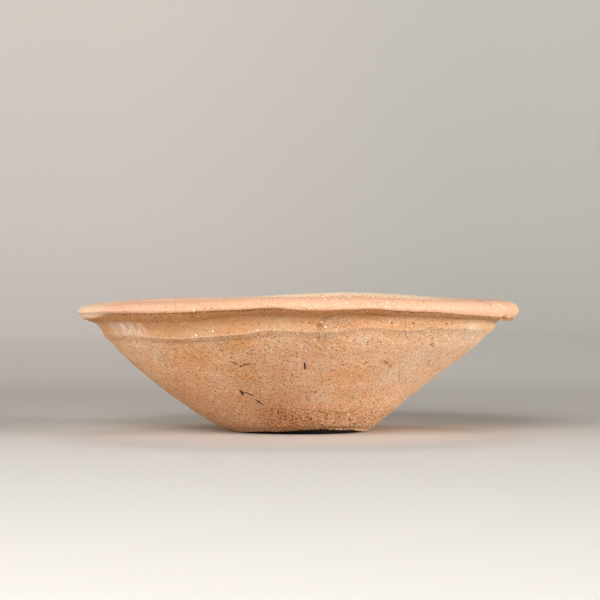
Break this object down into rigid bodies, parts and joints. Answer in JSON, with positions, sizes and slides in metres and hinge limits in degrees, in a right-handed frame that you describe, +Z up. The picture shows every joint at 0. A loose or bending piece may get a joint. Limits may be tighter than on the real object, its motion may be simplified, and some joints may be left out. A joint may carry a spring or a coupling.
{
  "type": "bowl",
  "caption": "Wide flared earthenware bowl with a rolled lip, a narrow collar under it and a small flat foot; it stands open side up.",
  "frame": {"origin": "on the floor under the middle of the bowl's box, at the level of the flat foot", "axes": "+Z up out of the open mouth; the side shown in the picture faces -Y, and the flank that bellies out is towards -X"},
  "size_m": [0.2412, 0.2394, 0.076],
  "materials": {
    "clay": "matte"
  },
  "bodies": {
    "root": {"bowl": "clay"}
  },
  "joints": []
}
